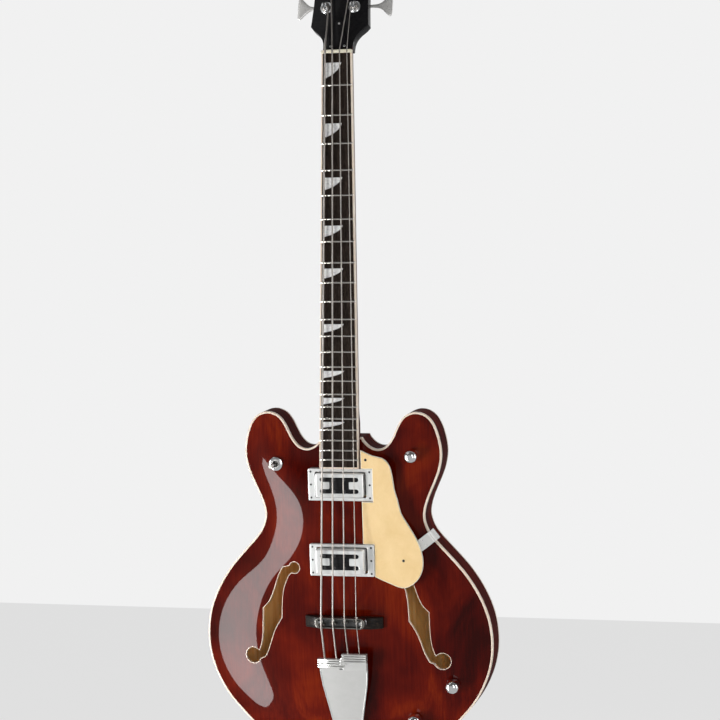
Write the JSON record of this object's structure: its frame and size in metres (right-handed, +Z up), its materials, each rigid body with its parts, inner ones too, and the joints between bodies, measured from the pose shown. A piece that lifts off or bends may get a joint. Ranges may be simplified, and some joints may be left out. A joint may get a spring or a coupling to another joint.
{
  "type": "electric bass guitar",
  "caption": "Semi-hollow electric bass guitar: double-cutaway arched body with bound f-holes, set neck, chrome pickups, floating bridge and trapeze tailpiece.",
  "frame": {"origin": "centre of the neck where a wall hanger's fork holds it, just under the headstock", "axes": "+Z up the body towards the headstock, +X towards the treble side, +Y from the front to the back; the body's rim is vertical and the neck leans back"},
  "size_m": [0.408, 0.165, 1.1513],
  "materials": {
    "wine_lacquer": "high gloss wine-red lacquer over maple",
    "bare_wood": "bare maple",
    "rosewood": "oiled, open grain",
    "ebony": "satin",
    "cream_plastic": "polished cream",
    "bone": "polished bone",
    "black_plastic": "gloss black",
    "chrome": "mirror chrome",
    "nickel_steel": "satin nickel",
    "string_wire": "nickel wound steel"
  },
  "bodies": {
    "guitar": {"body_rim": "wine_lacquer", "top_plate": "wine_lacquer", "back_plate": "wine_lacquer", "neck": "wine_lacquer", "centre_block": "bare_wood", "top_binding": "cream_plastic", "back_binding": "cream_plastic", "fingerboard_binding": "cream_plastic", "pickguard": "cream_plastic", "fingerboard": "rosewood", "nut": "bone", "truss_rod": "nickel_steel", "truss_rod_cover": "black_plastic", "bridge_base": "ebony", "toggle_switch": "nickel_steel", "toggle_nut": "chrome", "jack_plate": "chrome", "jack_socket": "nickel_steel", "tailpiece": "chrome", "tailpiece_bracket": "chrome", "pickguard_bracket": "chrome", "bridge_bar": "chrome", "strap_button_end": "chrome", "strap_button_heel": "chrome", "string_e": "string_wire", "string_a": "string_wire", "string_d": "string_wire", "string_g": "string_wire", "pot_master_volume": "nickel_steel", "pot_neck_volume": "nickel_steel", "pot_bridge_volume": "nickel_steel", "pickup_ring_neck": "chrome", "pickup_cover_neck": "chrome", "pickup_coil_neck": "black_plastic", "pickup_ring_bridge": "chrome", "pickup_cover_bridge": "chrome", "pickup_coil_bridge": "black_plastic", "tuner_housing_bass_lower": "chrome", "tuner_bushing_bass_lower": "chrome", "tuner_housing_bass_upper": "chrome", "tuner_bushing_bass_upper": "chrome", "tuner_housing_treble_lower": "chrome", "tuner_bushing_treble_lower": "chrome", "tuner_housing_treble_upper": "chrome", "tuner_bushing_treble_upper": "chrome"},
    "key_bass_lower": {"tuner_key_bass_lower": "chrome"},
    "post_bass_lower": {"tuner_post_bass_lower": "chrome"},
    "key_bass_upper": {"tuner_key_bass_upper": "chrome"},
    "post_bass_upper": {"tuner_post_bass_upper": "chrome"},
    "key_treble_lower": {"tuner_key_treble_lower": "chrome"},
    "post_treble_lower": {"tuner_post_treble_lower": "chrome"},
    "key_treble_upper": {"tuner_key_treble_upper": "chrome"},
    "post_treble_upper": {"tuner_post_treble_upper": "chrome"},
    "master_volume_knob": {"knob_master_volume": "chrome"},
    "neck_volume_knob": {"knob_neck_volume": "chrome"},
    "bridge_volume_knob": {"knob_bridge_volume": "chrome"},
    "lever": {"toggle_lever": "black_plastic"},
    "wheel_bass": {"bridge_wheel_bass": "chrome"},
    "wheel_treble": {"bridge_wheel_treble": "chrome"}
  },
  "joints": [
    {"name": "key_turn_bass_lower", "type": "hinge", "parent": "guitar", "child": "key_bass_lower", "pos_m": [-0.02, 0.03782, 0.05014], "axis": [1, 0, 0], "continuous": true},
    {"name": "post_turn_bass_lower", "type": "hinge", "parent": "guitar", "child": "post_bass_lower", "pos_m": [-0.02, 0.01395, 0.04922], "axis": [0, 0.9353, -0.3538], "continuous": true},
    {"name": "key_turn_bass_upper", "type": "hinge", "parent": "guitar", "child": "key_bass_upper", "pos_m": [-0.02, 0.0548, 0.09503], "axis": [1, 0, 0], "continuous": true},
    {"name": "post_turn_bass_upper", "type": "hinge", "parent": "guitar", "child": "post_bass_upper", "pos_m": [-0.02, 0.03093, 0.09412], "axis": [0, 0.9353, -0.3538], "continuous": true},
    {"name": "key_turn_treble_lower", "type": "hinge", "parent": "guitar", "child": "key_treble_lower", "pos_m": [0.02, 0.03782, 0.05014], "axis": [1, 0, 0], "continuous": true},
    {"name": "post_turn_treble_lower", "type": "hinge", "parent": "guitar", "child": "post_treble_lower", "pos_m": [0.02, 0.01395, 0.04922], "axis": [0, 0.9353, -0.3538], "continuous": true},
    {"name": "key_turn_treble_upper", "type": "hinge", "parent": "guitar", "child": "key_treble_upper", "pos_m": [0.02, 0.0548, 0.09503], "axis": [1, 0, 0], "continuous": true},
    {"name": "post_turn_treble_upper", "type": "hinge", "parent": "guitar", "child": "post_treble_upper", "pos_m": [0.02, 0.03093, 0.09412], "axis": [0, 0.9353, -0.3538], "continuous": true},
    {"name": "master_volume_turn", "type": "hinge", "parent": "guitar", "child": "master_volume_knob", "pos_m": [0.1, -0.05232, -0.56027], "axis": [0, 1, 0], "range_deg": [-150, 150]},
    {"name": "neck_volume_turn", "type": "hinge", "parent": "guitar", "child": "neck_volume_knob", "pos_m": [0.1495, -0.05232, -0.87727], "axis": [0, 1, 0], "range_deg": [-150, 150]},
    {"name": "bridge_volume_turn", "type": "hinge", "parent": "guitar", "child": "bridge_volume_knob", "pos_m": [0.0945, -0.05232, -0.92727], "axis": [0, 1, 0], "range_deg": [-150, 150]},
    {"name": "toggle_tip", "type": "hinge", "parent": "guitar", "child": "lever", "pos_m": [-0.0945, -0.05358, -0.57327], "axis": [1, 0, 0], "range_deg": [-12, 12]},
    {"name": "wheel_turn_bass", "type": "hinge", "parent": "guitar", "child": "wheel_bass", "pos_m": [-0.029, -0.07983, -0.78716], "axis": [0, 1, 0], "range_deg": [-180, 180]},
    {"name": "wheel_turn_treble", "type": "hinge", "parent": "guitar", "child": "wheel_treble", "pos_m": [0.029, -0.07983, -0.78716], "axis": [0, 1, 0], "range_deg": [-180, 180]}
  ],
  "couplings": [
    {"joint": "post_turn_bass_lower", "follows": "key_turn_bass_lower", "ratio": 0.05},
    {"joint": "post_turn_bass_upper", "follows": "key_turn_bass_upper", "ratio": 0.05},
    {"joint": "post_turn_treble_lower", "follows": "key_turn_treble_lower", "ratio": -0.05},
    {"joint": "post_turn_treble_upper", "follows": "key_turn_treble_upper", "ratio": -0.05}
  ]
}
